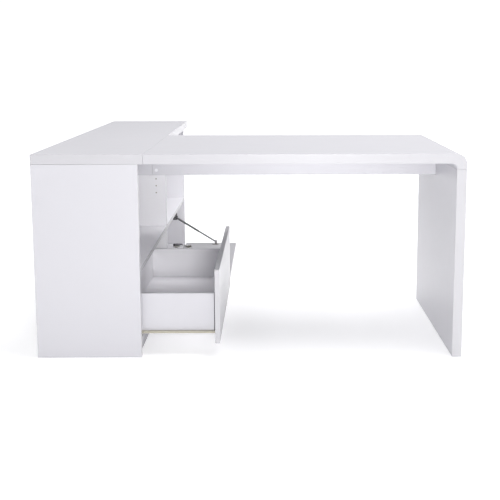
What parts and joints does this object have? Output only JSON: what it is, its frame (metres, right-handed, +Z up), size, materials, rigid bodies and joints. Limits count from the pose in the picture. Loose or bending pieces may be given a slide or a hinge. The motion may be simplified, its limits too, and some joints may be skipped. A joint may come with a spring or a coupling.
{
  "type": "corner desk",
  "caption": "White L-shaped corner desk: top with rounded corner on a panel leg, stretcher beam, and a low cabinet with drawer and drop-down flap.",
  "frame": {"origin": "on the floor, at the middle of the overall box", "axes": "+X along the desktop from the cabinet to the leg, +Y along the cabinet away from the desktop, +Z up"},
  "size_m": [1.57, 1.29, 0.76],
  "materials": {
    "foil_white": "white foil on MDF, satin",
    "front_white": "white lacquered foil on MDF, soft gloss",
    "melamine_white": "white melamine on chipboard, matt",
    "beech": "plain beech",
    "coated_steel": "cream epoxy coating",
    "nylon": "natural nylon",
    "nickel_steel": "nickel plate",
    "dark_steel": "dark grey coating"
  },
  "bodies": {
    "desk": {"desktop": "foil_white", "leg_panel": "foil_white", "leg_dowel_front": "beech", "leg_dowel_rear": "beech", "stretcher_beam": "foil_white", "cross_rail": "melamine_white", "rail_plate": "nickel_steel", "beam_angle": "nickel_steel", "seam_plate_front": "nickel_steel", "seam_plate_rear": "nickel_steel", "cabinet_top": "foil_white", "end_panel_near": "foil_white", "end_panel_far": "foil_white", "partition": "foil_white", "divider_near": "melamine_white", "divider_far": "melamine_white", "bottom_near": "melamine_white", "bottom_far": "melamine_white", "plinth_near": "foil_white", "plinth_far": "foil_white", "back_near": "melamine_white", "back_far": "melamine_white", "runner_near": "coated_steel", "runner_far": "coated_steel", "axle_near": "nickel_steel", "axle_far": "nickel_steel", "hinge_arm_near": "nickel_steel", "hinge_arm_far": "nickel_steel", "hinge_plate_near": "nickel_steel", "hinge_plate_far": "nickel_steel", "stay_plate": "dark_steel", "brake_pin": "nickel_steel"},
    "drawer": {"drawer_front": "front_white", "drawer_side_near": "melamine_white", "drawer_side_far": "melamine_white", "drawer_back": "melamine_white", "drawer_bottom": "melamine_white", "slide_near": "coated_steel", "slide_far": "coated_steel", "slide_axle_near": "nickel_steel", "slide_axle_far": "nickel_steel"},
    "roller_near_body": {"roller_near": "nylon"},
    "roller_far_body": {"roller_far": "nylon"},
    "slide_roller_near_body": {"slide_roller_near": "nylon"},
    "slide_roller_far_body": {"slide_roller_far": "nylon"},
    "flap_body": {"flap": "front_white", "hinge_cup_near": "nickel_steel", "hinge_cup_far": "nickel_steel", "hinge_pin_near": "nickel_steel", "hinge_pin_far": "nickel_steel", "stay_foot": "nickel_steel", "foot_pin": "nickel_steel"},
    "stay_rod_body": {"stay_rod": "dark_steel"},
    "stay_brake_body": {"stay_brake": "dark_steel"}
  },
  "joints": [
    {"name": "drawer_slide", "type": "slide", "parent": "desk", "child": "drawer", "axis": [1, 0, 0], "range_m": [-0.27, 0]},
    {"name": "roller_near_spin", "type": "hinge", "parent": "desk", "child": "roller_near_body", "pos_m": [-0.412, -0.62175, 0.0827], "axis": [0, 1, 0], "continuous": true},
    {"name": "roller_far_spin", "type": "hinge", "parent": "desk", "child": "roller_far_body", "pos_m": [-0.412, -0.01425, 0.0827], "axis": [0, 1, 0], "continuous": true},
    {"name": "slide_roller_near_spin", "type": "hinge", "parent": "drawer", "child": "slide_roller_near_body", "pos_m": [-0.4657, -0.61955, 0.0819], "axis": [0, 1, 0], "continuous": true},
    {"name": "slide_roller_far_spin", "type": "hinge", "parent": "drawer", "child": "slide_roller_far_body", "pos_m": [-0.4657, -0.01645, 0.0819], "axis": [0, 1, 0], "continuous": true},
    {"name": "flap_fold", "type": "hinge", "parent": "desk", "child": "flap_body", "pos_m": [-0.3857, 0.3225, 0.0598], "axis": [0, -1, 0], "range_deg": [0, 90]},
    {"name": "stay_rod_turn", "type": "hinge", "parent": "flap_body", "child": "stay_rod_body", "pos_m": [-0.225, 0.6065, 0.088], "axis": [0, -1, 0], "range_deg": [-72, 0.2]},
    {"name": "stay_brake_turn", "type": "hinge", "parent": "desk", "child": "stay_brake_body", "pos_m": [-0.453, 0.618, 0.23], "axis": [0, -1, 0], "range_deg": [-0.2, 18.5]}
  ],
  "couplings": [
    {"joint": "roller_near_spin", "follows": "drawer_slide", "rad_per_m": 125},
    {"joint": "roller_far_spin", "follows": "drawer_slide", "rad_per_m": 125},
    {"joint": "slide_roller_near_spin", "follows": "drawer_slide", "rad_per_m": 125},
    {"joint": "slide_roller_far_spin", "follows": "drawer_slide", "rad_per_m": 125},
    {"joint": "stay_rod_turn", "follows": "flap_fold", "ratio": -0.79713},
    {"joint": "stay_brake_turn", "follows": "flap_fold", "ratio": 0.20287}
  ]
}
